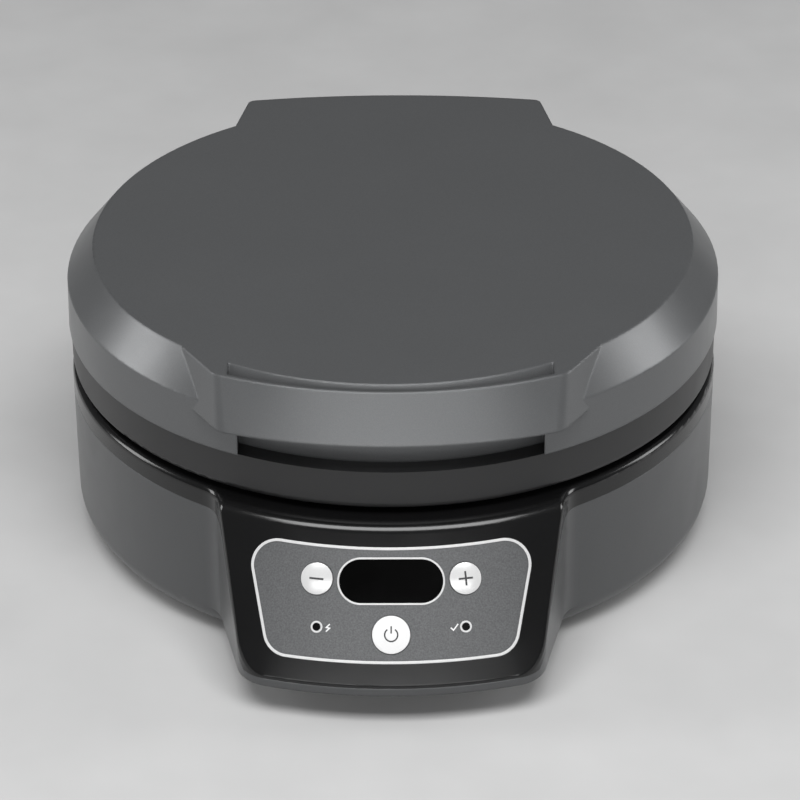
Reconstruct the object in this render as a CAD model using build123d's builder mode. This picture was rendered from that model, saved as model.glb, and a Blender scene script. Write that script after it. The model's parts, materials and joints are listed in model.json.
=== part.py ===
from build123d import *
from math import asin, cos, radians, sin, sqrt, tan
import os

# Countertop omelette maker with a hinged lid, in millimetres.
# It stands on its feet at Z = 0, +Z is up and the control panel faces -Y.
# The two round cooking plates share one upright axis, the pan axis.

# Heights, from the table upwards
foot_height = 4.5
base_height = 71.2
lid_gap = 2.8
liner_height = 18.2
band_height = 20.8
bevel_height = 14.6

# Round body
body_radius = 145.0
band_flare = 0.4
bevel_run = 12.0
bottom_round = 10.0
liner_step = 0.5
liner_round = 3.0
shell_wall = 2.6
edge_round = 0.8

# Front chin that carries the controls
chin_length = 42.6
chin_root_half = 76.0
chin_root_inset = 27.0
chin_front_half = 62.5
chin_corner = 17.0
chin_blend = 16.0
chin_edge_round = 3.0
lip_height = 3.8
seam_height = 61.5
seam_strip = 3.0
seam_round = 16.0

# Control panel: part of a cone about the pan axis, with a rounded top edge
panel_lean = 32.0
panel_length = 24.5
panel_height = 48.1
panel_wall = 2.8
ridge_round = 6.5

# Heel at the back, shared by base and lid
heel_cut = 2.0
heel_back_radius = 425.0
heel_corner_half = 68.6
heel_root_half = 75.0
heel_depth = 33.0
heel_corner_round = 4.0
heel_step_depth = 17.0
heel_step_height = 55.5

# Handle, moulded in one with the lid cover
handle_top_inset = 5.3
handle_top_half = 73.0
handle_top_bow = 15.7
handle_root_half = 87.5
handle_root_lift = 0.8
handle_foot_length = 5.2
handle_foot_half = 71.0
handle_foot_bow = 12.7
handle_foot_root_half = 84.0
handle_depth = 20.0
handle_corner = 9.0
channel_depth = 5.0
channel_back_run = 3.0
channel_half = 67.5
channel_lip = 1.8
pocket_depth = 8.5
pocket_half = 63.8

# Cooking plates
plate_margin = 25.0
plate_rim_width = 8.0
pan_draft = 4.0
lower_pan_depth = 14.0
upper_pan_depth = 10.0
plate_thickness = 4.0
plate_rim = 3.7
plates_gap = 0.4
plate_clearance = 0.3
ledge_width = 6.4
ledge_overlap = 4.0
ledge_thickness = 2.5
pan_round = 3.0

# Heating elements and heat shields
element_inset = 34.0
element_tube = 3.5
element_gap = 0.15
element_gap_angle = 40.0
terminal_length = 16.0
terminal_radius = 1.6
shield_gap = 11.0
shield_inset = 10.0
shield_rim = 8.0
shield_wall = 0.8
plate_boss_inset = 24.0
plate_boss_radius = 5.0
plate_boss_count = 3
shield_eye = 6.0

# Hinge
hinge_length = 5.0
hinge_rise = 3.8
eye_radius = 5.5
pin_radius = 2.5
pin_clearance = 0.05
pin_head_radius = 4.0
pin_head_length = 1.4
pin_tail = 1.0
bracket_inner = 39.0
bracket_width = 10.0
bracket_plate = 3.0
hinge_side_gap = 0.6
arm_width = 6.0
arm_height = 5.5
arm_foot_length = 5.0
arm_foot_width = 16.0
arm_foot_thickness = 3.0
arm_screw_x = 60.0
arm_heel_gap = 0.5
bracket_screw_rise = 3.5
liner_cut_inset = 4.0
liner_cut_height = 3.5

# Controls, placed on the panel from its middle
fascia_top_half = 61.0
fascia_bottom_half = 51.9
fascia_top_rise = 23.6
fascia_bottom_drop = 24.7
fascia_corner = 11.0
fascia_thickness = 0.8
trim_width = 1.2
trim_proud = 0.25
trim_gap = 0.05
lens_ring_lift = 0.02
display_back_gap = 2.0
window_length = 43.9
window_width = 18.9
window_rise = 9.6
window_thickness = 1.8
window_trim = 0.8
small_button_radius = 6.65
start_button_radius = 7.9
small_button_offset = 30.7
small_button_rise = 9.2
start_button_drop = 12.5
button_proud = 1.5
button_dome = 0.9
button_clearance = 0.2
button_flange = 1.6
button_flange_thickness = 1.2
button_stem_radius = 2.6
button_travel = 0.8
lens_radius = 1.7
lens_trim = 0.8
lens_offset = 30.9
lens_drop = 10.7
lens_proud = 0.3
lens_length = 7.0

# Board behind the panel
board_length = 106.0
board_width = 42.0
board_thickness = 1.6
switch_face_depth = 9.4
switch_gap = 0.4
switch_size = 6.0
switch_body = 3.5
switch_plunger = 1.4
switch_plunger_radius = 1.7
board_screw_x = 49.0
board_screw_y = 17.0
board_boss_radius = 3.2
display_length = 42.0
display_width = 23.0
led_radius = 1.5
led_height = 3.0

# Underside
cover_margin = 17.0
cover_clearance = 0.3
cover_ledge = 7.0
foot_inset = 20.0
foot_radius = 9.0
foot_plug_radius = 5.5
foot_plug_length = 3.4
foot_angles = (40.0, 140.0, 220.0, 320.0)
vent_ring = 60.0
vent_count = 8
vent_length = 24.0
vent_width = 3.0

# Screws
screw_radius = 1.5
screw_head_radius = 2.9
screw_head_height = 1.6
screw_bite = 8.0
case_screw_inset = 14.0
case_boss_radius = 4.2
case_boss_height = 12.0
case_screw_angles = (20.0, 160.0, 215.0, 325.0)
cover_screw_inset = 3.5
cover_screw_angles = (0.0, 90.0, 180.0, 270.0)
lid_screw_angles = (25.0, 155.0, 220.0, 320.0)
lid_boss_top_gap = 4.2

# Parts inside the base
sensor_radius = 5.0
sensor_length = 8.0
fuse_length = 26.0
fuse_radius = 4.0
fuse_ring = 50.0
power_board_length = 92.0
power_board_width = 60.0
power_board_rise = 9.0
power_board_reach = 30.0
post_radius = 3.5
power_post_inset = 6.0
relay_size = (20.0, 16.0, 15.0)
capacitor_radius = 6.5
capacitor_length = 15.0
terminal_block_size = (42.0, 18.0, 15.0)
terminal_block_inset = 47.0
gland_height = 34.0
gland_bore = 3.7
gland_body = 6.0
gland_flange = 9.0
gland_flange_thickness = 2.5
gland_neck_gap = 0.05
gland_seat = 0.1

# Heights and places worked out from the sizes above
deck_top = foot_height + base_height
lid_floor = deck_top + lid_gap
liner_top = lid_floor + liner_height
bevel_start = liner_top + band_height
lid_top = bevel_start + bevel_height
chin_floor = foot_height + bottom_round
lip_top = chin_floor + lip_height
seam_z = foot_height + seam_height
heel_step_z = foot_height + heel_step_height
handle_foot_z = lid_top - handle_depth
chin_reach = body_radius + chin_length
chin_root_reach = body_radius - chin_root_inset
panel_reach = body_radius + panel_length
heel_reach = body_radius - heel_cut
heel_root_reach = heel_reach - heel_depth
heel_step_reach = heel_reach - heel_step_depth
hinge_reach = heel_step_reach + hinge_length
liner_cut_reach = heel_step_reach - liner_cut_inset
lid_rim = body_radius - bevel_run
handle_top_reach = body_radius - handle_top_inset
handle_top_side = handle_top_reach - handle_top_bow
handle_root_side = sqrt(lid_rim**2 - handle_root_half**2) + handle_root_lift
handle_foot_reach = body_radius + handle_foot_length
handle_foot_side = handle_foot_reach - handle_foot_bow
handle_foot_root_side = sqrt(body_radius**2 - handle_foot_root_half**2) - handle_root_lift
pocket_radius = body_radius - pocket_depth
plate_radius = body_radius - plate_margin
pan_radius = plate_radius - plate_rim_width
element_radius = pan_radius - element_inset
shield_radius = plate_radius - shield_inset
plate_boss_ring = plate_radius - plate_boss_inset
cover_radius = body_radius - cover_margin
foot_ring = cover_radius - foot_inset
case_screw_ring = body_radius - case_screw_inset
cover_screw_ring = cover_radius - cover_screw_inset
terminal_block_reach = heel_reach - terminal_block_inset
hinge_z = deck_top + hinge_rise
plate_parting = deck_top + lid_gap / 2
lower_rim_top = plate_parting - plates_gap / 2
upper_rim_face = plate_parting + plates_gap / 2
deck_ledge_z = lower_rim_top - plate_rim - ledge_thickness
liner_ledge_z = upper_rim_face + plate_rim
ledge_inner = plate_radius + ledge_overlap - ledge_width
ledge_outer = plate_radius + ledge_width
plate_boss_length = shield_gap
plate_boss_angles = [30.0 + 360.0 / plate_boss_count * i for i in range(plate_boss_count)]
case_post_foot = foot_height + shell_wall + case_boss_height
case_screw_length = case_post_foot - foot_height + screw_bite
far = 3 * body_radius
pan_y = (chin_reach - heel_reach - gland_seat - gland_flange_thickness) / 2
pan_axis = Axis((0, pan_y, 0), (0, 0, 1))
power_post_grid = (power_board_length - 2 * power_post_inset, power_board_width - 2 * power_post_inset)
lid_post_foot = lid_floor + shell_wall
arm_screw_reach = liner_cut_reach - arm_heel_gap - arm_foot_length / 2
arm_inner = bracket_inner + bracket_width + hinge_side_gap
lens_places = (-lens_offset, lens_offset)
gland_neck = shell_wall + 2 * gland_seat
heel_face = Plane(origin=(0, pan_y + heel_reach, gland_height), x_dir=(-1, 0, 0), z_dir=(0, 1, 0))


def level(height):
    """Flat plane at a height, with its origin on the pan axis."""
    return Plane((0, pan_y, height))


def side(x=0.0):
    """Upright plane across X: its own x runs to the back, its own y runs up."""
    return Plane(origin=(x, pan_y, 0), x_dir=(0, 1, 0), z_dir=(1, 0, 0))


def bow(radius, half_chord):
    """How far an arc stands out beyond its chord."""
    return radius - sqrt(radius**2 - half_chord**2)


panel = Plane(
    origin=(0, pan_y - panel_reach, panel_height),
    x_dir=(1, 0, 0),
    z_dir=(0, -cos(radians(panel_lean)), sin(radians(panel_lean))),
)


def panel_line(height, inset=0.0):
    """Radius of the panel's cone at a height, drawn in square to its face."""
    return panel_reach - (height - panel_height) * tan(radians(panel_lean)) - inset / cos(radians(panel_lean))


def panel_spot(x, y, depth=0.0):
    """Plane square to the panel's cone at a place on it, some depth below the face."""
    lean = radians(panel_lean)
    height = panel_height + y * cos(lean)
    turn = asin(x / panel_line(height))
    normal = Vector(sin(turn) * cos(lean), -cos(turn) * cos(lean), sin(lean))
    place = Vector(x, pan_y - panel_line(height) * cos(turn), height) - normal * depth
    return Plane(origin=place, x_dir=(cos(turn), sin(turn), 0), z_dir=normal)


def face_bow(x, y):
    """How far the panel's cone falls behind its tangent plane's origin, measured level."""
    return bow(panel_line(panel_height + y * cos(radians(panel_lean))), abs(x))


def below(x, y, depth):
    """Where the line square to the face at a spot meets the plane at some depth under the panel."""
    spot = panel_spot(x, y)
    sunk = (panel.origin - spot.origin).dot(panel.z_dir)
    foot = spot.origin - spot.z_dir * ((depth - sunk) / spot.z_dir.dot(panel.z_dir)) - panel.origin
    return foot.dot(panel.x_dir), foot.dot(panel.y_dir)


hinge_sides = (("left", -1), ("right", 1))
board_front_depth = switch_face_depth + switch_plunger + switch_body
board_front = panel.offset(-board_front_depth)
buttons = (
    (-small_button_offset, small_button_rise, small_button_radius, "minus_button"),
    (small_button_offset, small_button_rise, small_button_radius, "plus_button"),
    (0.0, -start_button_drop, start_button_radius, "start_button"),
)


def back_line(inset=0.0):
    """Wide circle whose rear arc is the line of the heel's gently bowed back."""
    with BuildSketch() as outline:
        with Locations((0, heel_reach - heel_back_radius)):
            Circle(heel_back_radius - inset)
    return outline.sketch


def heel_outline(inset=0.0):
    """Plan of the heel, from inside the round body to its bowed back."""
    slope = (heel_root_half - heel_corner_half) / (heel_reach - heel_root_reach)
    with BuildSketch() as outline:
        with BuildLine():
            Polyline(
                (-heel_root_half, 0), (-heel_root_half, heel_root_reach),
                (-heel_corner_half + slope * heel_reach, 2 * heel_reach),
                (heel_corner_half - slope * heel_reach, 2 * heel_reach),
                (heel_root_half, heel_root_reach), (heel_root_half, 0), close=True,
            )
        make_face()
        add(back_line(), mode=Mode.INTERSECT)
        fillet(outline.vertices().group_by(Axis.Y)[-1], heel_corner_round)
        if inset:
            offset(amount=-inset, kind=Kind.INTERSECTION, mode=Mode.REPLACE)
    return outline.sketch


def chin_outline():
    """Plan of the chin, its front corners rounded."""
    front_corner = chin_reach - bow(chin_reach, chin_front_half)
    with BuildSketch() as outline:
        with BuildLine():
            Polyline(
                (chin_front_half, -front_corner),
                (chin_root_half, -chin_root_reach),
                (chin_root_half, 0),
                (-chin_root_half, 0),
                (-chin_root_half, -chin_root_reach),
                (-chin_front_half, -front_corner),
            )
            ThreePointArc(
                (-chin_front_half, -front_corner), (0, -chin_reach), (chin_front_half, -front_corner)
            )
        make_face()
        fillet(outline.vertices().group_by(Axis.Y)[0], chin_corner)
    return outline.sketch


def base_outline(inset=0.0):
    """Plan of the base: round body, chin and heel, drawn in by a wall."""
    with BuildSketch() as outline:
        Circle(body_radius)
        add(chin_outline())
        hollows = outline.vertices().filter_by_position(Axis.Y, -body_radius, -chin_root_reach + 1)
        fillet(hollows.filter_by(lambda v: abs(v.X) > chin_front_half + 2), chin_blend)
        add(heel_outline())
        add(back_line(), mode=Mode.INTERSECT)
        if inset:
            offset(amount=-inset, kind=Kind.INTERSECTION, mode=Mode.REPLACE)
    return outline.sketch


def base_mass(inset=0.0):
    """Solid outer form of the base, drawn in by a wall on every side."""
    with BuildPart() as mass:
        with BuildSketch(level(chin_floor + inset)):
            add(base_outline(inset))
        extrude(amount=deck_top - chin_floor - 2 * inset)
        if inset:
            with BuildSketch(level(chin_floor)):
                Circle(body_radius - inset)
            extrude(amount=inset)
        with BuildSketch(side()):
            with BuildLine():
                wall = body_radius - inset
                low = foot_height + inset
                turn = bottom_round - inset
                Polyline((0, low), (wall - turn, low))
                RadiusArc((wall - turn, low), (wall, low + turn), -turn)
                Polyline((wall, low + turn), (0, low + turn), (0, low))
            make_face()
        revolve(axis=pan_axis)
        with BuildSketch(side()) as front:
            with BuildLine():
                Polyline(
                    (0, 0), (panel_line(0, inset), 0), (panel_line(deck_top, inset), deck_top),
                    (0, deck_top), close=True,
                )
            make_face()
            if not inset:
                fillet(front.vertices().filter_by(lambda v: v.X > 1 and v.Y > 1), ridge_round)
        revolve(axis=pan_axis, mode=Mode.INTERSECT)
        with BuildSketch(level(0)):
            add(back_line(inset))
        extrude(amount=far, mode=Mode.INTERSECT)
        with BuildSketch(level(heel_step_z - inset)):
            with Locations((0, heel_step_reach - inset)):
                Rectangle(far, far, align=(Align.CENTER, Align.MIN))
        extrude(amount=far, mode=Mode.SUBTRACT)
    return mass.part


def above_seam():
    """Everything above the seam between the black deck and the grey shell.

    The seam runs level round the body, turns down along the chin's sides a strip
    behind the panel's cone, and runs forward again above the lip under the chin.
    """
    with BuildPart() as chin_side:
        with BuildSketch(side()) as profile:
            with BuildLine():
                Polyline(
                    (0, seam_z), (panel_line(seam_z, seam_strip), seam_z),
                    (panel_line(lip_top, seam_strip), lip_top), (far, lip_top), (far, far), (0, far),
                    close=True,
                )
            make_face()
            knee = profile.vertices().filter_by_position(Axis.Y, seam_z - 1, seam_z + 1)
            fillet(knee.filter_by(lambda v: v.X > 1), seam_round)
        revolve(axis=pan_axis)
        with BuildSketch(level(0)):
            Rectangle(2 * far, far, align=(Align.CENTER, Align.MAX))
        extrude(amount=far, mode=Mode.INTERSECT)
    with BuildPart() as region:
        with BuildSketch(level(seam_z)):
            Rectangle(2 * far, 2 * far)
        extrude(amount=far - seam_z)
        add(chin_side.part)
    return region.part


def ring(z_low, height, inner, outer):
    """Flat ring about the pan axis."""
    with BuildPart() as band:
        with BuildSketch(level(z_low)):
            Circle(outer)
            Circle(inner, mode=Mode.SUBTRACT)
        extrude(amount=height)
    return band.part


def pins(z_low, height, radius, ring_radius, angles):
    """Upright round pins standing on a circle about the pan axis."""
    with BuildPart() as group:
        with BuildSketch(level(z_low)):
            for angle in angles:
                with PolarLocations(ring_radius, 1, start_angle=angle):
                    Circle(radius)
        extrude(amount=height)
    return group.part


def screws(head_z, ring_radius, angles, length):
    """Round-head screws driven upwards, heads below the given height."""
    with BuildPart() as group:
        add(pins(head_z - screw_head_height, screw_head_height, screw_head_radius, ring_radius, angles))
        add(pins(head_z, length, screw_radius, ring_radius, angles))
    return group.part


def bracket_screw_plane(side_sign):
    """Back face of a bracket's plate, where its screw's head lies."""
    x = side_sign * (bracket_inner + bracket_width / 2)
    return Plane(
        origin=(x, pan_y + heel_step_reach + bracket_plate, heel_step_z + bracket_screw_rise),
        x_dir=(-1, 0, 0),
        z_dir=(0, 1, 0),
    )


def save(piece, name):
    """Write one finished piece under its own name."""
    piece.label = name
    export_step(piece, f"parts/{name}.step")


def panel_layer(top, bottom):
    """Layer of the panel's cone, all round, between two heights over its face."""
    with BuildPart() as layer:
        with BuildSketch(side()):
            with BuildLine():
                Polyline(
                    (panel_line(chin_floor, -bottom), chin_floor), (panel_line(chin_floor, -top), chin_floor),
                    (panel_line(deck_top, -top), deck_top), (panel_line(deck_top, -bottom), deck_top),
                    close=True,
                )
            make_face()
        revolve(axis=pan_axis)
    return layer.part


def fascia_outline(inset):
    """Outline of the fascia: wider at the top, level edges on the cone, round corners."""
    lean = radians(panel_lean)
    top_end = fascia_top_rise + face_bow(fascia_top_half, fascia_top_rise) * sin(lean)
    bottom_end = -fascia_bottom_drop + face_bow(fascia_bottom_half, -fascia_bottom_drop) * sin(lean)
    with BuildSketch() as outline:
        with BuildLine():
            ThreePointArc((-fascia_top_half, top_end), (0, fascia_top_rise), (fascia_top_half, top_end))
            Line((fascia_top_half, top_end), (fascia_bottom_half, bottom_end))
            ThreePointArc(
                (fascia_bottom_half, bottom_end), (0, -fascia_bottom_drop), (-fascia_bottom_half, bottom_end)
            )
            Line((-fascia_bottom_half, bottom_end), (-fascia_top_half, top_end))
        make_face()
        fillet(outline.vertices(), fascia_corner)
        if inset:
            offset(amount=-inset, kind=Kind.INTERSECTION, mode=Mode.REPLACE)
    return outline.sketch


def fascia_body(inset):
    """The fascia's curved plate, with no holes."""
    with BuildPart() as body:
        add(panel_layer(0, -fascia_thickness))
        with BuildSketch(panel):
            add(fascia_outline(inset))
        extrude(amount=panel_length, both=True, mode=Mode.INTERSECT)
    return body.part


def window_body(length, width, depth):
    """Block through the display window's round-ended outline."""
    with BuildPart() as body:
        with BuildSketch(panel.offset(-min(depth, panel_length))):
            with Locations((0, window_rise)):
                SlotOverall(length, width)
        extrude(amount=2 * panel_length)
    return body.part


os.makedirs("parts", exist_ok=True)

# Base: the grey shell below the seam and the black deck above it
inner_base = base_mass(shell_wall)
seam_region = above_seam()

with BuildPart() as base_form:
    add(base_mass())
    chin_front = base_form.edges().filter_by(lambda edge: edge.bounding_box().min.Z > chin_floor + 1)
    slanted = chin_front.filter_by(lambda edge: edge.bounding_box().size.Z > 1)
    on_cone = slanted.filter_by(lambda edge: edge.bounding_box().min.Y < pan_y - body_radius)
    fillet(on_cone.filter_by(lambda edge: edge.geom_type != GeomType.LINE), chin_edge_round)

with BuildPart() as base_shell:
    add(base_form.part)
    add(inner_base, mode=Mode.SUBTRACT)
    add(seam_region, mode=Mode.SUBTRACT)
    with BuildSketch(level(foot_height)):
        Circle(cover_radius)
    extrude(amount=shell_wall, mode=Mode.SUBTRACT)
    add(ring(foot_height + shell_wall, shell_wall, cover_radius - cover_ledge, cover_radius + shell_wall))
    add(
        pins(
            foot_height + shell_wall, screw_bite + screw_head_height, case_boss_radius,
            cover_screw_ring, cover_screw_angles,
        )
    )
    add(
        pins(foot_height, screw_bite, screw_radius, cover_screw_ring, cover_screw_angles),
        mode=Mode.SUBTRACT,
    )
    add(
        pins(foot_height, case_boss_height, screw_radius, case_screw_ring, case_screw_angles),
        mode=Mode.SUBTRACT,
    )
    with BuildSketch(heel_face):
        Circle(gland_body)
    extrude(amount=-2 * shell_wall, mode=Mode.SUBTRACT)
    for _, side_sign in hinge_sides:
        with BuildSketch(bracket_screw_plane(side_sign)):
            Circle(screw_radius)
        extrude(amount=-bracket_plate - 2 * shell_wall, mode=Mode.SUBTRACT)
save(base_shell.part, "base_shell")

with BuildPart() as base_deck:
    add(base_form.part)
    add(inner_base, mode=Mode.SUBTRACT)
    add(seam_region, mode=Mode.INTERSECT)
    with BuildSketch(level(deck_top)):
        Circle(plate_radius + plate_clearance)
    extrude(amount=-shell_wall, mode=Mode.SUBTRACT)
    add(ring(deck_ledge_z, ledge_thickness, ledge_inner, ledge_outer))
    case_post_height = deck_top - shell_wall - case_post_foot
    add(pins(case_post_foot, case_post_height, case_boss_radius, case_screw_ring, case_screw_angles))
    add(
        pins(case_post_foot, screw_bite, screw_radius, case_screw_ring, case_screw_angles),
        mode=Mode.SUBTRACT,
    )
    with BuildSketch(board_front) as boss_spots:
        with GridLocations(2 * board_screw_x, 2 * board_screw_y, 2, 2):
            Circle(board_boss_radius)
    boss_depth = face_bow(board_screw_x, board_screw_y) * cos(radians(panel_lean)) + panel_wall / 2
    extrude(amount=board_front_depth - boss_depth)
    with BuildSketch(board_front) as boss_holes:
        with GridLocations(2 * board_screw_x, 2 * board_screw_y, 2, 2):
            Circle(screw_radius)
    extrude(amount=screw_bite / 2, mode=Mode.SUBTRACT)
    add(fascia_body(0), mode=Mode.SUBTRACT)
    for x, y, radius, name in buttons:
        with BuildSketch(panel_spot(x, y)):
            Circle(radius + button_clearance)
        extrude(amount=2 * panel_wall, both=True, mode=Mode.SUBTRACT)
    for x in lens_places:
        with BuildSketch(panel_spot(x, -lens_drop)):
            Circle(lens_radius)
        extrude(amount=2 * panel_wall, both=True, mode=Mode.SUBTRACT)
    add(window_body(window_length, window_width, far), mode=Mode.SUBTRACT)
save(base_deck.part, "base_deck")

# Cover under the base, with its vents, and the feet plugged into it
with BuildPart() as bottom_cover:
    with BuildSketch(level(foot_height)):
        Circle(cover_radius - cover_clearance)
    extrude(amount=shell_wall)
    add(pins(foot_height, far, foot_plug_radius, foot_ring, foot_angles), mode=Mode.SUBTRACT)
    add(pins(foot_height, far, screw_radius, cover_screw_ring, cover_screw_angles), mode=Mode.SUBTRACT)
    with BuildSketch(level(foot_height)):
        with PolarLocations(vent_ring, vent_count):
            SlotOverall(vent_length, vent_width)
    extrude(amount=shell_wall, mode=Mode.SUBTRACT)
    with BuildSketch(level(foot_height + shell_wall)):
        with Locations((0, power_board_reach)):
            with GridLocations(*power_post_grid, 2, 2):
                Circle(post_radius)
                Circle(screw_radius, mode=Mode.SUBTRACT)
    extrude(amount=power_board_rise)
save(bottom_cover.part, "bottom_cover")

with BuildPart() as feet:
    with BuildSketch(level(0)):
        for angle in foot_angles:
            with PolarLocations(foot_ring, 1, start_angle=angle):
                Circle(foot_radius)
    extrude(amount=foot_height, taper=-5)
    add(pins(foot_height, foot_plug_length, foot_plug_radius, foot_ring, foot_angles))
    fillet(feet.edges().group_by(Axis.Z)[0], edge_round)
save(feet.part, "feet")

save(screws(foot_height, cover_screw_ring, cover_screw_angles, screw_bite), "cover_screws")
save(screws(foot_height, case_screw_ring, case_screw_angles, case_screw_length), "case_screws")


# Cooking plates: a shallow pan with a flat rim, turned about the pan axis
def plate(rim_face, depth, up):
    """Plate whose rim face is at a height; its pan runs down (up = -1) or up (up = 1)."""
    floor_face = rim_face + up * depth
    back = floor_face + up * plate_thickness
    rim_back = rim_face + up * plate_rim
    inner_back = pan_radius - pan_draft + plate_thickness
    with BuildPart() as body:
        with BuildSketch(side()) as profile:
            with BuildLine():
                Polyline(
                    (0, back), (inner_back - pan_draft, back), (pan_radius + plate_thickness, rim_back),
                    (plate_radius, rim_back), (plate_radius, rim_face), (pan_radius, rim_face),
                    (pan_radius - pan_draft, floor_face), (0, floor_face), close=True,
                )
            make_face()
            root = profile.vertices().filter_by_position(Axis.Y, floor_face - 0.1, floor_face + 0.1)
            fillet(root.filter_by(lambda v: v.X > 1), pan_round)
        revolve(axis=pan_axis)
        low, high = sorted((back, back + up * plate_boss_length))
        add(pins(low, high - low, plate_boss_radius, plate_boss_ring, plate_boss_angles))
        screw_start = high - screw_bite if up > 0 else low
        add(
            pins(screw_start, screw_bite, screw_radius, plate_boss_ring, plate_boss_angles),
            mode=Mode.SUBTRACT,
        )
    return body.part


def element(back, up):
    """Tubular heater: most of a turn of tube beside the plate's back, with two terminal pins."""
    centre = back + up * (element_gap + element_tube)
    sweep_angle = 360 - element_gap_angle
    with BuildPart() as body:
        with BuildSketch(side()):
            with Locations((element_radius, centre)):
                Circle(element_tube)
        revolve(axis=pan_axis, revolution_arc=sweep_angle)
        for angle in (90.0, 90.0 + sweep_angle):
            with BuildSketch(level(centre)):
                with PolarLocations(element_radius, 1, start_angle=angle):
                    Circle(terminal_radius)
            extrude(amount=up * terminal_length)
    return body.part


def shield(back, up):
    """Thin metal dish that throws the heat back at the plate, screwed to its bosses."""
    near = back + up * plate_boss_length
    with BuildPart() as body:
        with BuildSketch(side()):
            with BuildLine():
                Polyline(
                    (0, near), (shield_radius, near), (shield_radius, near - up * shield_rim),
                    (shield_radius + shield_wall, near - up * shield_rim),
                    (shield_radius + shield_wall, near + up * shield_wall), (0, near + up * shield_wall),
                    close=True,
                )
            make_face()
        revolve(axis=pan_axis)
        low = min(near, near + up * shield_wall)
        add(pins(low, shield_wall, screw_radius, plate_boss_ring, plate_boss_angles), mode=Mode.SUBTRACT)
        for angle in (90.0, 90.0 - element_gap_angle):
            add(
                pins(low, shield_wall, terminal_radius + button_clearance, element_radius, [angle]),
                mode=Mode.SUBTRACT,
            )
        add(pins(low, shield_wall, shield_eye, 0, [0]), mode=Mode.SUBTRACT)
    return body.part


def plate_screws(back, up):
    """Screws through the heat shield into the plate's bosses, heads away from the plate."""
    head = back + up * (plate_boss_length + shield_wall)
    with BuildPart() as group:
        low = min(head, head + up * screw_head_height)
        add(pins(low, screw_head_height, screw_head_radius, plate_boss_ring, plate_boss_angles))
        bite = min(head, head - up * screw_bite)
        add(pins(bite, screw_bite, screw_radius, plate_boss_ring, plate_boss_angles))
    return group.part


lower_back = lower_rim_top - lower_pan_depth - plate_thickness
upper_back = upper_rim_face + upper_pan_depth + plate_thickness
save(plate(lower_rim_top, lower_pan_depth, -1), "lower_plate")
save(plate(upper_rim_face, upper_pan_depth, 1), "upper_plate")
save(element(lower_back, -1), "lower_heating_element")
save(element(upper_back, 1), "upper_heating_element")
save(shield(lower_back, -1), "lower_heat_shield")
save(shield(upper_back, 1), "upper_heat_shield")
save(plate_screws(lower_back, -1), "lower_plate_screws")
save(plate_screws(upper_back, 1), "upper_plate_screws")

# Temperature sensor in the middle under the lower plate, and a thermal fuse on each plate's back
with BuildPart() as temperature_sensor:
    with BuildSketch(level(lower_back)):
        Circle(sensor_radius)
    extrude(amount=-sensor_length)
    with BuildSketch(level(lower_back - sensor_length)):
        Circle(sensor_radius / 2)
    extrude(amount=-sensor_length)
save(temperature_sensor.part, "temperature_sensor")


def thermal_fuse(back, up):
    """Capsule fuse lying in its two-ended clamp on the plate's back."""
    with BuildPart() as body:
        with BuildSketch(Plane(origin=(-fuse_length / 2, pan_y, 0), x_dir=(0, 1, 0), z_dir=(1, 0, 0))):
            with Locations((fuse_ring, back + up * fuse_radius)):
                Circle(fuse_radius)
        extrude(amount=fuse_length)
    return body.part


save(thermal_fuse(lower_back, -1), "lower_thermal_fuse")
save(thermal_fuse(upper_back, 1), "upper_thermal_fuse")


# Hinge: brackets and pins on the base, arms on the lid
def across(side_sign, near, width):
    """Side plane from which a piece of some width grows away from the middle."""
    return side(side_sign * near), side_sign * width


def hinge_bracket(side_sign):
    """Upright bracket on the step behind the deck, with the eye that holds the pin."""
    plane, width = across(side_sign, bracket_inner, bracket_width)
    foot = heel_step_z
    with BuildPart() as body:
        with BuildSketch(plane):
            with Locations((heel_step_reach + bracket_plate / 2, (foot + hinge_z) / 2)):
                Rectangle(bracket_plate, hinge_z - foot)
            with Locations((hinge_reach, hinge_z)):
                Circle(eye_radius)
        extrude(amount=width)
        with BuildSketch(plane):
            with Locations((hinge_reach, hinge_z)):
                Circle(pin_radius)
        extrude(amount=width, mode=Mode.SUBTRACT)
        with Locations(bracket_screw_plane(side_sign)):
            CounterSinkHole(screw_radius, screw_head_radius, depth=bracket_plate, counter_sink_angle=90)
    return body.part


def hinge_pin(side_sign):
    """Headed pin, fixed in the bracket and free in the lid's arm."""
    plane, length = across(side_sign, bracket_inner, bracket_width + hinge_side_gap + arm_width + pin_tail)
    head_plane, head_length = across(side_sign, bracket_inner, -pin_head_length)
    with BuildPart() as body:
        with BuildSketch(plane):
            with Locations((hinge_reach, hinge_z)):
                Circle(pin_radius)
        extrude(amount=length)
        with BuildSketch(head_plane):
            with Locations((hinge_reach, hinge_z)):
                Circle(pin_head_radius)
        extrude(amount=head_length)
    return body.part


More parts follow.
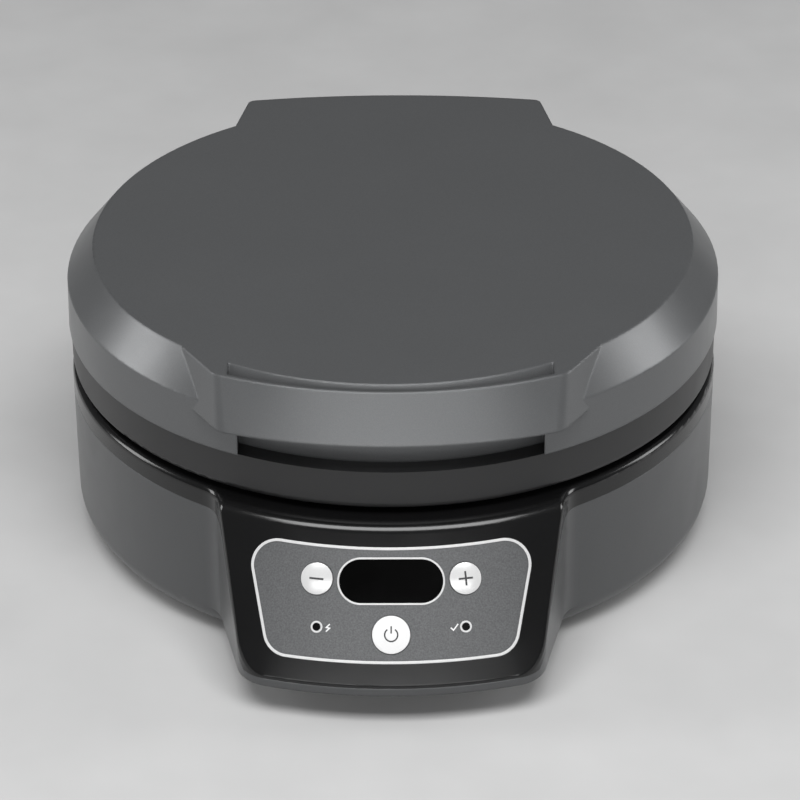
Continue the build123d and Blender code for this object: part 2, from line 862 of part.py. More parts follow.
def lid_arm(side_sign):
    """Arm from the hinge pin to its foot on the lid liner."""
    plane, width = across(side_sign, arm_inner, arm_width)
    foot_plane, foot_width = across(side_sign, arm_inner, arm_foot_width)
    foot_z = lid_floor + shell_wall
    heel = liner_cut_reach - arm_heel_gap
    toe = heel - arm_foot_length
    with BuildPart() as body:
        with BuildSketch(plane):
            with BuildLine():
                Polyline(
                    (hinge_reach, hinge_z + arm_height), (toe, hinge_z + arm_height), (toe, foot_z),
                    (liner_cut_reach + arm_heel_gap, foot_z), (hinge_reach - eye_radius + 1, hinge_z - 1),
                    (hinge_reach, hinge_z), close=True,
                )
            make_face()
            with Locations((hinge_reach, hinge_z)):
                Circle(eye_radius)
        extrude(amount=width)
        with BuildSketch(foot_plane):
            with Locations((heel - arm_foot_length / 2, foot_z + arm_foot_thickness / 2)):
                Rectangle(arm_foot_length, arm_foot_thickness)
        extrude(amount=foot_width)
        with BuildSketch(plane):
            with Locations((hinge_reach, hinge_z)):
                Circle(pin_radius + pin_clearance)
        extrude(amount=width, mode=Mode.SUBTRACT)
        with BuildSketch(level(foot_z)):
            with Locations((side_sign * arm_screw_x, arm_screw_reach)):
                Circle(screw_radius)
        extrude(amount=arm_foot_thickness, mode=Mode.SUBTRACT)
    return body.part


for side_name, side_sign in hinge_sides:
    save(hinge_bracket(side_sign), f"hinge_bracket_{side_name}")
    save(hinge_pin(side_sign), f"hinge_pin_{side_name}")
    save(lid_arm(side_sign), f"lid_hinge_arm_{side_name}")


# Lid cover: top, bevel and band, with the heel behind and the handle in front
def handle_section(height, reach, half, side_reach, root_half, root_side, inset=0.0):
    """Plan of the handle at a height: cheeks out of the bevel, round corners, bowed front."""
    with BuildSketch(level(height)) as section:
        with BuildLine():
            Polyline(
                (half, -side_reach), (root_half, -root_side), (root_half / 2, -root_side / 2),
                (-root_half / 2, -root_side / 2), (-root_half, -root_side), (-half, -side_reach),
            )
            ThreePointArc((-half, -side_reach), (0, -reach), (half, -side_reach))
        make_face()
        corners = section.vertices().filter_by(lambda v: abs(abs(v.X) - half) < 0.01)
        fillet(corners, handle_corner)
        if inset:
            offset(amount=-inset, kind=Kind.INTERSECTION, mode=Mode.REPLACE)
    return section.sketch


def handle_top(inset=0.0):
    """Plan of the handle at the level of the lid's top."""
    return handle_section(
        lid_top, handle_top_reach, handle_top_half, handle_top_side, handle_root_half, handle_root_side, inset
    )


def pocket(inset, foot):
    """Finger pocket under the handle: a bowed slot in the band, open below and in front."""
    with BuildPart() as body:
        with BuildSketch(level(foot)):
            Circle(far / 2)
            Circle(pocket_radius - inset, mode=Mode.SUBTRACT)
            with Locations((0, -far / 4)):
                Rectangle(2 * (pocket_half + inset), far / 2, mode=Mode.INTERSECT)
        extrude(amount=handle_foot_z + inset - foot)
    return body.part


def channel():
    """Shallow channel between the lid's top and the handle's lip, sloped at its back."""
    floor_z = lid_top - channel_depth
    with BuildPart() as body:
        with BuildSketch(side()):
            with BuildLine():
                Polyline(
                    (-lid_rim, lid_top), (-lid_rim - channel_back_run, floor_z),
                    (-handle_foot_reach, floor_z), (-handle_foot_reach, lid_top + 1), (-lid_rim, lid_top + 1),
                    close=True,
                )
            make_face()
        revolve(axis=pan_axis)
        with BuildSketch(Plane.XY.offset(floor_z)):
            add(handle_top(channel_lip).moved(Location((0, 0, -channel_depth))))
            with Locations((0, pan_y)):
                Rectangle(2 * channel_half, far, align=(Align.CENTER, Align.MAX), mode=Mode.INTERSECT)
        extrude(amount=2 * channel_depth, mode=Mode.INTERSECT)
    return body.part


with BuildPart() as lid_hollow:
    with BuildSketch(side()):
        with BuildLine():
            Polyline(
                (0, liner_top), (body_radius + band_flare - shell_wall, liner_top),
                (body_radius - shell_wall, bevel_start - shell_wall / 2),
                (body_radius - bevel_run - shell_wall / 2, lid_top - shell_wall),
                (0, lid_top - shell_wall), close=True,
            )
        make_face()
    revolve(axis=pan_axis)
    with BuildSketch(level(liner_top)):
        add(back_line(shell_wall))
    extrude(amount=far, mode=Mode.INTERSECT)
    with BuildSketch(level(liner_top)):
        add(heel_outline(shell_wall))
    extrude(amount=lid_top - shell_wall - liner_top)
    add(pocket(shell_wall, liner_top), mode=Mode.SUBTRACT)

with BuildPart() as lid_cover:
    with BuildSketch(side()) as cover_profile:
        with BuildLine():
            Polyline(
                (0, liner_top), (body_radius + band_flare, liner_top), (body_radius, bevel_start),
                (body_radius - bevel_run, lid_top), (0, lid_top), close=True,
            )
        make_face()
        fillet(cover_profile.vertices().filter_by(lambda v: v.X > 1 and v.Y > bevel_start - 1), edge_round)
    revolve(axis=pan_axis)
    with BuildSketch(level(liner_top)):
        add(back_line())
    extrude(amount=far, mode=Mode.INTERSECT)
    with BuildSketch(level(liner_top)):
        add(heel_outline())
    extrude(amount=lid_top - liner_top)
    foot_section = handle_section(
        handle_foot_z, handle_foot_reach, handle_foot_half, handle_foot_side,
        handle_foot_root_half, handle_foot_root_side,
    )
    loft([foot_section, handle_top()], ruled=True)
    add(lid_hollow.part, mode=Mode.SUBTRACT)
    add(pocket(0, liner_top), mode=Mode.SUBTRACT)
    add(channel(), mode=Mode.SUBTRACT)
    lid_post_height = lid_top - lid_boss_top_gap - lid_post_foot
    add(pins(lid_post_foot, lid_post_height, case_boss_radius, case_screw_ring, lid_screw_angles))
    add(
        pins(lid_post_foot, screw_bite, screw_radius, case_screw_ring, lid_screw_angles),
        mode=Mode.SUBTRACT,
    )
save(lid_cover.part, "lid_cover")

# Lid liner: the black ring under the cover, open in the middle for the upper plate
liner_radius = body_radius - liner_step
with BuildPart() as lid_liner:
    with BuildSketch(side()) as liner_profile:
        with BuildLine():
            Polyline(
                (0, lid_floor), (liner_radius, lid_floor), (liner_radius, liner_top), (0, liner_top),
                close=True,
            )
        make_face()
        fillet(liner_profile.vertices().filter_by(lambda v: v.X > 1 and v.Y < lid_floor + 1), liner_round)
    revolve(axis=pan_axis)
    with BuildSketch(level(lid_floor)):
        add(back_line(liner_step))
    extrude(amount=far, mode=Mode.INTERSECT)
    with BuildSketch(level(lid_floor)):
        add(heel_outline(liner_step))
    extrude(amount=liner_height)
    with BuildSketch(level(lid_floor + shell_wall)):
        Circle(liner_radius - shell_wall)
        add(back_line(liner_step + shell_wall), mode=Mode.INTERSECT)
        add(heel_outline(liner_step + shell_wall))
    extrude(amount=liner_height, mode=Mode.SUBTRACT)
    with BuildSketch(level(lid_floor)):
        with Locations((0, liner_cut_reach)):
            Rectangle(far, far, align=(Align.CENTER, Align.MIN))
    extrude(amount=liner_cut_height, mode=Mode.SUBTRACT)
    with BuildSketch(level(liner_top)):
        Circle(liner_radius - shell_wall / 2)
        Circle(pocket_radius - shell_wall, mode=Mode.SUBTRACT)
        with Locations((0, -far / 4)):
            Rectangle(2 * (pocket_half + shell_wall), far / 2, mode=Mode.INTERSECT)
    extrude(amount=-shell_wall)
    with BuildSketch(level(liner_ledge_z)):
        Circle(ledge_outer)
    extrude(amount=ledge_thickness)
    with BuildSketch(level(lid_floor)):
        Circle(plate_radius + plate_clearance)
    extrude(amount=liner_ledge_z - lid_floor, mode=Mode.SUBTRACT)
    with BuildSketch(level(lid_floor)):
        Circle(ledge_inner)
    extrude(amount=far, mode=Mode.SUBTRACT)
    add(
        pins(lid_floor, shell_wall, screw_radius, case_screw_ring, lid_screw_angles),
        mode=Mode.SUBTRACT,
    )
    for _, side_sign in hinge_sides:
        with BuildSketch(level(lid_floor)):
            with Locations((side_sign * arm_screw_x, arm_screw_reach)):
                Circle(screw_radius)
        extrude(amount=shell_wall, mode=Mode.SUBTRACT)
        with BuildSketch(level(lid_post_foot)):
            with Locations((side_sign * (arm_inner + arm_foot_width / 2), arm_screw_reach)):
                Rectangle(arm_foot_width + 2 * plate_clearance, arm_foot_length + 2 * plate_clearance)
        extrude(amount=arm_foot_thickness + plate_clearance, mode=Mode.SUBTRACT)
save(lid_liner.part, "lid_liner")
save(screws(lid_floor, case_screw_ring, lid_screw_angles, screw_bite), "lid_screws")

# Screws of the hinge: one up into each arm's foot, one through each bracket into the deck
with BuildPart() as hinge_arm_screws:
    with BuildSketch(level(lid_floor)):
        for _, side_sign in hinge_sides:
            with Locations((side_sign * arm_screw_x, arm_screw_reach)):
                Circle(screw_radius)
    extrude(amount=shell_wall + arm_foot_thickness)
    with BuildSketch(level(lid_floor)):
        for _, side_sign in hinge_sides:
            with Locations((side_sign * arm_screw_x, arm_screw_reach)):
                Circle(screw_head_radius)
    extrude(amount=-screw_head_height)
save(hinge_arm_screws.part, "hinge_arm_screws")

with BuildPart() as hinge_bracket_screws:
    for _, side_sign in hinge_sides:
        with BuildSketch(bracket_screw_plane(side_sign)):
            Circle(screw_radius)
        extrude(amount=-bracket_plate - 2 * shell_wall)
        with BuildSketch(bracket_screw_plane(side_sign)):
            Circle(screw_head_radius)
        extrude(amount=screw_radius - screw_head_radius, taper=45)
save(hinge_bracket_screws.part, "hinge_bracket_screws")

# Fascia with its light border, and the display window with its own
with BuildPart() as fascia:
    add(fascia_body(trim_gap))
    for x, y, radius, _ in buttons:
        with BuildSketch(panel_spot(x, y)):
            Circle(radius + button_clearance)
        extrude(amount=2 * fascia_thickness, both=True, mode=Mode.SUBTRACT)
    for x in lens_places:
        with BuildSketch(panel_spot(x, -lens_drop)):
            Circle(lens_radius)
        extrude(amount=2 * fascia_thickness, both=True, mode=Mode.SUBTRACT)
    add(window_body(window_length, window_width, far), mode=Mode.SUBTRACT)
save(fascia.part, "fascia")

with BuildPart() as fascia_border:
    add(panel_layer(trim_proud, 0))
    with BuildSketch(panel):
        add(fascia_outline(trim_gap))
        add(fascia_outline(trim_gap + trim_width), mode=Mode.SUBTRACT)
    extrude(amount=panel_length, both=True, mode=Mode.INTERSECT)
save(fascia_border.part, "fascia_border")

with BuildPart() as display_window:
    add(panel_layer(0, -window_thickness))
    add(window_body(window_length, window_width, far), mode=Mode.INTERSECT)
save(display_window.part, "display_window")

with BuildPart() as window_border:
    add(panel_layer(trim_proud, 0))
    add(window_body(window_length + window_trim, window_width + window_trim, far), mode=Mode.INTERSECT)
    add(window_body(window_length - window_trim, window_width - window_trim, far), mode=Mode.SUBTRACT)
save(window_border.part, "window_border")

# Status lamps: two lenses through the panel, their rings and the diodes behind them
for x, name in zip(lens_places, ("power_lens", "ready_lens")):
    with BuildPart() as lens:
        with BuildSketch(panel_spot(x, -lens_drop, lens_length)):
            Circle(lens_radius)
        extrude(amount=lens_length + lens_proud)
        fillet(lens.faces().sort_by(Axis(panel.origin, panel.z_dir))[-1].edges(), lens_proud / 2)
    save(lens.part, name)

with BuildPart() as lens_rings:
    for x in lens_places:
        with BuildSketch(panel_spot(x, -lens_drop, -lens_ring_lift)):
            Circle(lens_radius + lens_trim)
            Circle(lens_radius, mode=Mode.SUBTRACT)
        extrude(amount=trim_proud)
save(lens_rings.part, "lens_rings")

with BuildPart() as status_leds:
    with BuildSketch(board_front):
        for x in lens_places:
            with Locations(below(x, -lens_drop, board_front_depth - led_height)):
                Circle(led_radius)
    extrude(amount=led_height)
save(status_leds.part, "status_leds")


# Push buttons: domed cap, flange behind the panel wall, stem that reaches for its switch
def button(x, y, radius):
    """One button in place, at rest."""
    spot = panel_spot(x, y)
    sunk = (panel.origin - spot.origin).dot(panel.z_dir)
    stem_end = (switch_face_depth - sunk) / spot.z_dir.dot(panel.z_dir) - button_travel - switch_gap
    ball = (radius**2 + button_dome**2) / (2 * button_dome)
    flange_top = panel_wall + button_clearance
    flange_bottom = flange_top + button_flange_thickness
    with BuildPart() as body:
        with BuildSketch(panel_spot(x, y, flange_bottom)):
            Circle(radius)
        extrude(amount=flange_bottom + button_proud)
        with Locations(panel_spot(x, y, ball - button_proud)):
            Sphere(ball, mode=Mode.INTERSECT)
        with BuildSketch(panel_spot(x, y, flange_bottom)):
            Circle(radius + button_flange)
        extrude(amount=button_flange_thickness)
        with BuildSketch(panel_spot(x, y, stem_end)):
            Circle(button_stem_radius)
        extrude(amount=stem_end - flange_bottom)
    return body.part


for x, y, radius, name in buttons:
    save(button(x, y, radius), name)

# Control board with its switches and display, screwed to the deck's bosses
with BuildPart() as control_board:
    with BuildSketch(board_front):
        Rectangle(board_length, board_width)
        with GridLocations(2 * board_screw_x, 2 * board_screw_y, 2, 2):
            Circle(screw_radius, mode=Mode.SUBTRACT)
    extrude(amount=-board_thickness)
save(control_board.part, "control_board")

with BuildPart() as board_screws:
    with BuildSketch(board_front.offset(-board_thickness)):
        with GridLocations(2 * board_screw_x, 2 * board_screw_y, 2, 2):
            Circle(screw_radius)
    extrude(amount=board_thickness + screw_bite / 2)
    with BuildSketch(board_front.offset(-board_thickness)):
        with GridLocations(2 * board_screw_x, 2 * board_screw_y, 2, 2):
            Circle(screw_head_radius)
    extrude(amount=-screw_head_height)
save(board_screws.part, "board_screws")

with BuildPart() as button_switches:
    with BuildSketch(board_front):
        for x, y, _, _ in buttons:
            with Locations(below(x, y, switch_face_depth)):
                Rectangle(switch_size, switch_size)
    extrude(amount=switch_body)
    with BuildSketch(board_front.offset(switch_body)):
        for x, y, _, _ in buttons:
            with Locations(below(x, y, switch_face_depth)):
                Circle(switch_plunger_radius)
    extrude(amount=switch_plunger)
save(button_switches.part, "button_switches")

with BuildPart() as display_module:
    with BuildSketch(board_front):
        with Locations((0, window_rise)):
            Rectangle(display_length, display_width)
    extrude(amount=board_front_depth - panel_wall - display_back_gap)
save(display_module.part, "display_module")

# Power board on its posts, with a relay, a transformer and a capacitor
power_z = foot_height + shell_wall + power_board_rise
with BuildPart() as power_board:
    with BuildSketch(level(power_z)):
        with Locations((0, power_board_reach)):
            Rectangle(power_board_length, power_board_width)
            with GridLocations(*power_post_grid, 2, 2):
                Circle(screw_radius, mode=Mode.SUBTRACT)
    extrude(amount=board_thickness)
    with BuildSketch(level(power_z + board_thickness)):
        with Locations((-power_board_length / 4, power_board_reach)):
            Rectangle(relay_size[0], relay_size[1])
        with Locations((power_board_length / 4, power_board_reach)):
            Rectangle(relay_size[0], relay_size[0])
    extrude(amount=relay_size[2])
    with BuildSketch(level(power_z + board_thickness)):
        with Locations((0, power_board_reach)):
            Circle(capacitor_radius)
    extrude(amount=capacitor_length)
save(power_board.part, "power_board")

with BuildPart() as power_board_screws:
    for low, height, radius in (
        (power_z - screw_bite, board_thickness + screw_bite, screw_radius),
        (power_z + board_thickness, screw_head_height, screw_head_radius),
    ):
        with BuildSketch(level(low)):
            with Locations((0, power_board_reach)):
                with GridLocations(*power_post_grid, 2, 2):
                    Circle(radius)
        extrude(amount=height)
save(power_board_screws.part, "power_board_screws")

# Mains terminal block on the cover, and the gland in the heel for the cord
with BuildPart() as terminal_block:
    with BuildSketch(level(foot_height + shell_wall)):
        with Locations((0, terminal_block_reach)):
            Rectangle(terminal_block_size[0], terminal_block_size[1])
    extrude(amount=terminal_block_size[2])
    with BuildSketch(level(foot_height + shell_wall + terminal_block_size[2])):
        with Locations((0, terminal_block_reach)):
            with GridLocations(terminal_block_size[0] / 3, terminal_block_size[1] / 2, 3, 2):
                Circle(screw_radius)
    extrude(amount=-terminal_block_size[2] / 2, mode=Mode.SUBTRACT)
save(terminal_block.part, "terminal_block")

with BuildPart() as cord_gland:
    with BuildSketch(heel_face.offset(gland_seat)):
        Circle(gland_flange)
    extrude(amount=gland_flange_thickness)
    with BuildSketch(heel_face.offset(gland_seat)):
        Circle(gland_body - gland_neck_gap)
    extrude(amount=-gland_neck)
    with BuildSketch(heel_face.offset(gland_seat - gland_neck)):
        Circle(gland_flange)
    extrude(amount=-gland_flange_thickness)
    fillet(cord_gland.edges().group_by(Axis.Y)[-1], edge_round)
    with BuildSketch(heel_face.offset(gland_seat + gland_flange_thickness)):
        Circle(gland_bore)
    extrude(amount=-far / 4, mode=Mode.SUBTRACT)
save(cord_gland.part, "cord_gland")
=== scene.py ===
import json
import math

import bpy
from mathutils import Matrix, Vector


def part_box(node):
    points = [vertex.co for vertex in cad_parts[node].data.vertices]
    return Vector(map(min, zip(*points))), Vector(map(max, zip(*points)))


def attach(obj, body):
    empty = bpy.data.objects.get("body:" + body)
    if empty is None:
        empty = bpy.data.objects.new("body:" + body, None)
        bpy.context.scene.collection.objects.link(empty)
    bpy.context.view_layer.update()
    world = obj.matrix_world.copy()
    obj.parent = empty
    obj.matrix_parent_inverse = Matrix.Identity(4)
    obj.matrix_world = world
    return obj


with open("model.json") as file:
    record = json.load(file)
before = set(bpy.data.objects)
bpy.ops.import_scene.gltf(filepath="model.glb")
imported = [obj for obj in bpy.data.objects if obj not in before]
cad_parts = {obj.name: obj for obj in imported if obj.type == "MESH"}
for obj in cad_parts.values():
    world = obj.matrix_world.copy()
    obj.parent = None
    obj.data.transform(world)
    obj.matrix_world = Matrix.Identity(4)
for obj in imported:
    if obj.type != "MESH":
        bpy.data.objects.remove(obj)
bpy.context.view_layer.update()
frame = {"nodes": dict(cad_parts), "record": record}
nodes = frame["nodes"]
scene = bpy.context.scene

# The frame's main places, in metres
_, lid_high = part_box("lid_cover")
plate_low, plate_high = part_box("lower_plate")
pan_y = (plate_low.y + plate_high.y) / 2
lid_top = lid_high.z

# The camera, placed from the middle of the lid's top and swung about the pan axis
photo_width = 800
focal_pixels = 3255.5
sensor_width = 36.0
camera_offset = Vector((0.00285, -1.2837, 0.67425))
camera_pitch = math.radians(30.643)
camera_roll = math.radians(0.352)
camera_swing = Matrix.Rotation(math.radians(0.45), 4, "Z")
clip_range = (0.05, 50.0)

# The control panel's face, part of a cone about the pan axis: its middle and its lean
panel_reach = 0.1695
panel_height = 0.0481
panel_lean = math.radians(32)

# Where the controls sit on the panel, from its middle, and how their caps are domed
small_button_place = (0.0307, 0.0092)
small_button_radius = 0.00665
start_button_place = (0.0, -0.0125)
start_button_radius = 0.0079
button_proud = 0.0015
button_dome = 0.0009
lamp_drop = 0.0107

# Printed marks: pen widths, sizes and how far the print stands over its surface
print_lift = 0.00004
mark_width = 0.0008
half_mark = 0.0030
standby_width = 0.0006
standby_radius = 0.0027
standby_arc = (125, 415)
standby_bar = (0.0006, 0.0036)
sign_width = 0.00055
sign_offset = 0.0262
bolt_shape = [(0.0007, 0.0016), (-0.0007, 0.0001), (0.0007, -0.0001), (-0.0007, -0.0016)]
check_shape = [(-0.0016, 0.0001), (-0.0005, -0.0010), (0.0016, 0.0014)]
least_mitre = 0.4

# Procedural textures: how noise is made up, where ramps begin and end, how fast gloss drifts
noise_detail = 3.0
noise_roughness = 0.55
ramp_ends = (0.3, 0.7)
gloss_drift = 22.0
bevel_samples = 6

# Studio: the floor, the room's own light, and each soft box's place, size and watts
floor_half = 6.0
floor_roughness = 0.75
floor_drift = 14.0
floor_shades = ((0.50, 0.50, 0.50), (0.54, 0.54, 0.54))
room_colour = (0.80, 0.81, 0.82, 1)
room_strength = 0.16
lamp_target = Vector((0, 0, 0.08))
soft_boxes = (
    ("top_box", (0, -0.75, 1.8), (1.8, 0.8), 37),
    ("low_front_box", (0, -2.3, 0.75), (2.6, 0.66), 22),
    ("left_box", (-1.7, 0.2, 0.7), (0.5, 0.9), 8),
    ("right_box", (1.7, 0.2, 0.7), (0.5, 0.9), 8),
)


def node_tree(name):
    """A new material, its node tree and its shader."""
    material = bpy.data.materials.new(name)
    material.use_nodes = True
    tree = material.node_tree
    return material, tree, tree.nodes["Principled BSDF"]


def add_noise(tree, scale):
    """Noise in the object's own space, so many features to the metre."""
    place = tree.nodes.new("ShaderNodeTexCoord")
    noise = tree.nodes.new("ShaderNodeTexNoise")
    noise.inputs["Scale"].default_value = scale
    noise.inputs["Detail"].default_value = noise_detail
    noise.inputs["Roughness"].default_value = noise_roughness
    tree.links.new(place.outputs["Object"], noise.inputs["Vector"])
    return noise.outputs["Fac"]


def add_ramp(tree, factor, low, high):
    """Colour or grey between two ends, from a factor."""
    ramp = tree.nodes.new("ShaderNodeValToRGB")
    for stop, position, colour in zip(ramp.color_ramp.elements, ramp_ends, (low, high)):
        stop.position = position
        stop.color = (*colour, 1)
    tree.links.new(factor, ramp.inputs["Fac"])
    return ramp.outputs["Color"]


def add_bump(tree, shader, height, strength, distance, edge):
    """Fine relief from a height, over edges that are softened by a small radius if there is one."""
    bump = tree.nodes.new("ShaderNodeBump")
    if edge:
        bevel = tree.nodes.new("ShaderNodeBevel")
        bevel.samples = bevel_samples
        bevel.inputs["Radius"].default_value = edge
        tree.links.new(bevel.outputs["Normal"], bump.inputs["Normal"])
    bump.inputs["Strength"].default_value = strength
    bump.inputs["Distance"].default_value = distance
    tree.links.new(height, bump.inputs["Height"])
    tree.links.new(bump.outputs["Normal"], shader.inputs["Normal"])


def grained(name, colour, spread, roughness, metallic=0.0, coat=0.0, coat_roughness=0.2, specular=0.5,
            grain=2600.0, relief=0.08, relief_depth=0.00004, rough_spread=0.05, edge=0.0005):
    """A moulded or painted surface: fine grain in colour and relief, slow drift in gloss."""
    material, tree, shader = node_tree(name)
    fine = add_noise(tree, grain)
    slow = add_noise(tree, gloss_drift)
    low = [c * (1 - spread) for c in colour]
    high = [c * (1 + spread) for c in colour]
    tree.links.new(add_ramp(tree, fine, low, high), shader.inputs["Base Color"])
    rough = add_ramp(tree, slow, [roughness - rough_spread] * 3, [roughness + rough_spread] * 3)
    tree.links.new(rough, shader.inputs["Roughness"])
    shader.inputs["Metallic"].default_value = metallic
    shader.inputs["Specular IOR Level"].default_value = specular
    shader.inputs["Coat Weight"].default_value = coat
    shader.inputs["Coat Roughness"].default_value = coat_roughness
    add_bump(tree, shader, fine, relief, relief_depth, edge)
    return material


# Finishes, one for each material slot of the record: colour, its spread, roughness
finishes = {
    "grey_cover": grained(
        "lid_paint", (0.108, 0.111, 0.114), 0.10, 0.34, metallic=0.4, coat=0.25, coat_roughness=0.3,
        edge=0.0016,
    ),
    "grey_shell": grained(
        "shell_paint", (0.070, 0.072, 0.074), 0.10, 0.36, metallic=0.35, coat=0.25, coat_roughness=0.3,
        edge=0.0014,
    ),
    "black_plastic": grained(
        "black_moulding", (0.005, 0.005, 0.0052), 0.15, 0.17, grain=1500.0, relief=0.02,
        rough_spread=0.03, edge=0.0,
    ),
    "cover_plastic": grained("cover_moulding", (0.024, 0.024, 0.025), 0.2, 0.6, relief=0.3),
    "foot_rubber": grained("foot_rubber", (0.02, 0.02, 0.02), 0.25, 0.85, relief=0.4),
    "plate_coating": grained("pan_coating", (0.030, 0.029, 0.029), 0.3, 0.45, metallic=0.2, grain=1800.0),
    "heater_steel": grained("heater_tube", (0.20, 0.18, 0.17), 0.35, 0.5, metallic=0.9, grain=700.0),
    "shield_steel": grained("shield_sheet", (0.58, 0.58, 0.58), 0.08, 0.3, metallic=1.0, grain=900.0),
    "screw_steel": grained("screw_steel", (0.45, 0.45, 0.45), 0.1, 0.35, metallic=1.0),
    "hinge_steel": grained("hinge_steel", (0.40, 0.40, 0.41), 0.1, 0.4, metallic=1.0),
    "fascia_paint": grained(
        "fascia_paint", (0.102, 0.104, 0.107), 0.24, 0.45, metallic=0.35, grain=1500.0, relief=0.05
    ),
    "border_silver": grained("border_line", (0.62, 0.62, 0.62), 0.06, 0.4, metallic=0.2, relief=0.02),
    "display_glass": grained("display_glass", (0.001, 0.001, 0.001), 0.3, 0.12, specular=0.12, relief=0.01),
    "button_silver": grained(
        "button_paint", (0.64, 0.64, 0.64), 0.03, 0.26, metallic=0.15, coat=0.4, relief=0.02
    ),
    "lamp_lens": grained("lamp_lens", (0.002, 0.002, 0.002), 0.3, 0.15, specular=0.2, relief=0.01),
    "board_green": grained("board_laminate", (0.02, 0.12, 0.045), 0.2, 0.5, grain=900.0),
    "part_black": grained("part_moulding", (0.02, 0.02, 0.02), 0.2, 0.55),
    "sensor_metal": grained("sensor_metal", (0.5, 0.5, 0.5), 0.1, 0.35, metallic=1.0),
    "fuse_sleeve": grained("fuse_sleeve", (0.62, 0.58, 0.48), 0.2, 0.8, grain=1600.0, relief=0.5),
}
own_finish = {
    "lid_liner": grained("liner_moulding", (0.015, 0.015, 0.0155), 0.15, 0.40, relief=0.03, edge=0.0),
    "start_button": grained("start_paint", (0.74, 0.74, 0.74), 0.02, 0.45, relief=0.02),
}
dark_print = grained("dark_print", (0.035, 0.035, 0.037), 0.15, 0.6)
white_print = grained("white_print", (0.72, 0.72, 0.72), 0.05, 0.6)
slot_of = {entry["node"]: entry["material_slot"] for entry in frame["record"]["subparts"]}
for name, node in nodes.items():
    node.data.materials.clear()
    node.data.materials.append(own_finish.get(name, finishes[slot_of[name]]))


def panel_frame(x, y):
    """A place on the panel's cone and its directions across, up and out."""
    radius = panel_reach - y * math.sin(panel_lean)
    height = panel_height + y * math.cos(panel_lean)
    turn = math.asin(x / radius)
    level_out = Vector((math.sin(turn), -math.cos(turn), 0))
    across = Vector((math.cos(turn), math.sin(turn), 0))
    upright = Vector((0, 0, 1))
    out = level_out * math.cos(panel_lean) + upright * math.sin(panel_lean)
    up = upright * math.cos(panel_lean) - level_out * math.sin(panel_lean)
    return Vector((0, pan_y, height)) + level_out * radius, across, up, out


def stroke(points, width):
    """Left and right edges of a pen stroke along points, with mitred corners."""
    sides = ([], [])
    last = len(points) - 1
    for i, point in enumerate(points):
        before = Vector(points[max(i - 1, 0)])
        after = Vector(points[min(i + 1, last)])
        here = Vector(point)
        into = (here - before).normalized() if i else (after - here).normalized()
        out_of = (after - here).normalized() if i < last else into
        turn = Vector((-into.y - out_of.y, into.x + out_of.x)).normalized()
        reach = width / 2 / max(turn.dot(Vector((-into.y, into.x))), least_mitre)
        sides[0].append(here + turn * reach)
        sides[1].append(here - turn * reach)
    return sides


def print_mark(name, strokes, width, place, height, material, body):
    """A printed mark: thin strokes laid on the surface that a height gives over a place."""
    centre, across, up, out = panel_frame(*place)
    verts, faces = [], []
    for points in strokes:
        left, right = stroke(points, width)
        start = len(verts)
        for pair in zip(left, right):
            for spot in pair:
                lift = out * (height(spot) + print_lift)
                verts.append(centre + across * spot.x + up * spot.y + lift)
        for i in range(len(points) - 1):
            k = start + 2 * i
            faces.append((k, k + 1, k + 3, k + 2))
    mesh = bpy.data.meshes.new(name)
    mesh.from_pydata(verts, [], faces)
    mesh.materials.append(material)
    mark = bpy.data.objects.new(name, mesh)
    scene.collection.objects.link(mark)
    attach(mark, body)


def line(start, end, steps=8):
    """Even points from one place to another."""
    a, b = Vector(start), Vector(end)
    return [tuple(a.lerp(b, i / steps)) for i in range(steps + 1)]


def arc(radius, start, end, steps=40):
    """Even points round an arc, angles in degrees."""
    angles = [math.radians(start + (end - start) * i / steps) for i in range(steps + 1)]
    return [(radius * math.cos(a), radius * math.sin(a)) for a in angles]


def cap_face(radius):
    """Height of a button's domed cap over the panel, for a cap of some radius."""
    ball = (radius**2 + button_dome**2) / (2 * button_dome)
    return lambda spot: button_proud - ball + math.sqrt(ball**2 - spot.length_squared)


def fascia_face(spot):
    """Height of the fascia's own face, which is the panel's."""
    return 0.0


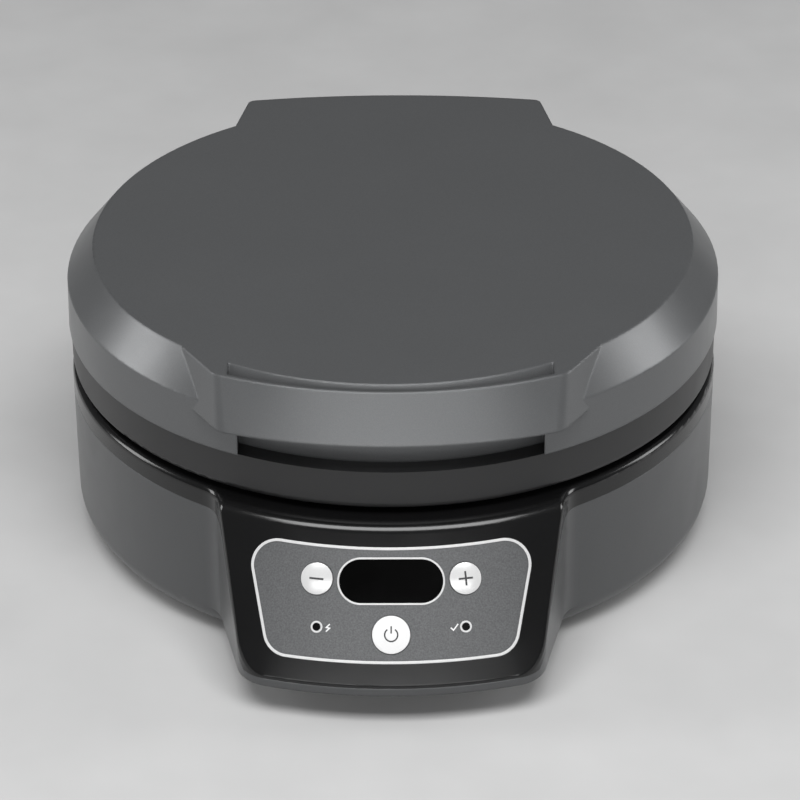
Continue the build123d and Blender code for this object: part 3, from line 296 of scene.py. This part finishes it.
# Printed marks: minus, plus, a standby sign, and a small sign beside each lamp
across_bar = line((-half_mark, 0), (half_mark, 0))
upright_bar = line((0, -half_mark), (0, half_mark))
small_cap = cap_face(small_button_radius)
start_cap = cap_face(start_button_radius)
minus_place = (-small_button_place[0], small_button_place[1])
standby_strokes = [arc(standby_radius, *standby_arc), line((0, standby_bar[0]), (0, standby_bar[1]))]
print_mark(
    "minus_mark", [across_bar], mark_width,
    minus_place, small_cap, dark_print, "minus_button",
)
print_mark(
    "plus_mark", [across_bar, upright_bar], mark_width,
    small_button_place, small_cap, dark_print, "plus_button",
)
print_mark(
    "standby_mark", standby_strokes, standby_width,
    start_button_place, start_cap, dark_print, "start_button",
)
print_mark(
    "power_sign", [bolt_shape], sign_width,
    (-sign_offset, -lamp_drop), fascia_face, white_print, "base",
)
print_mark(
    "ready_sign", [check_shape], sign_width,
    (sign_offset, -lamp_drop), fascia_face, white_print, "base",
)


def add_floor():
    """Stage: a wide, flat, pale floor."""
    material, tree, shader = node_tree("pale_floor")
    colour = add_ramp(tree, add_noise(tree, floor_drift), *floor_shades)
    tree.links.new(colour, shader.inputs["Base Color"])
    shader.inputs["Roughness"].default_value = floor_roughness
    corners = [
        (-floor_half, -floor_half, 0), (floor_half, -floor_half, 0),
        (floor_half, floor_half, 0), (-floor_half, floor_half, 0),
    ]
    mesh = bpy.data.meshes.new("floor")
    mesh.from_pydata(corners, [], [(0, 1, 2, 3)])
    mesh.materials.append(material)
    floor = bpy.data.objects.new("floor", mesh)
    scene.collection.objects.link(floor)


def add_room():
    """World: a dim grey room, because the soft boxes give most of the light."""
    world = bpy.data.worlds.new("studio")
    world.use_nodes = True
    background = world.node_tree.nodes["Background"]
    background.inputs["Color"].default_value = room_colour
    background.inputs["Strength"].default_value = room_strength
    scene.world = world


def add_softbox(name, place, size, power):
    """Rectangular lamp that faces the object."""
    lamp = bpy.data.lights.new(name, "AREA")
    lamp.shape = "RECTANGLE"
    lamp.size, lamp.size_y = size
    lamp.energy = power
    body = bpy.data.objects.new(name, lamp)
    body.location = place
    body.rotation_euler = (lamp_target - Vector(place)).to_track_quat("-Z", "Y").to_euler()
    scene.collection.objects.link(body)


def add_camera():
    """The photograph's camera."""
    data = bpy.data.cameras.new("camera")
    data.sensor_width = sensor_width
    data.lens = focal_pixels * sensor_width / photo_width
    data.clip_start, data.clip_end = clip_range
    camera = bpy.data.objects.new("camera", data)
    place = Vector((0, pan_y, lid_top)) + camera_swing @ camera_offset
    pitch = Matrix.Rotation(math.pi / 2 - camera_pitch, 4, "X")
    roll = Matrix.Rotation(-camera_roll, 4, "Z")
    camera.matrix_world = Matrix.Translation(place) @ camera_swing @ pitch @ roll
    scene.collection.objects.link(camera)
    scene.camera = camera


add_floor()
add_room()
for box in soft_boxes:
    add_softbox(*box)
add_camera()
scene.view_settings.view_transform = "Standard"
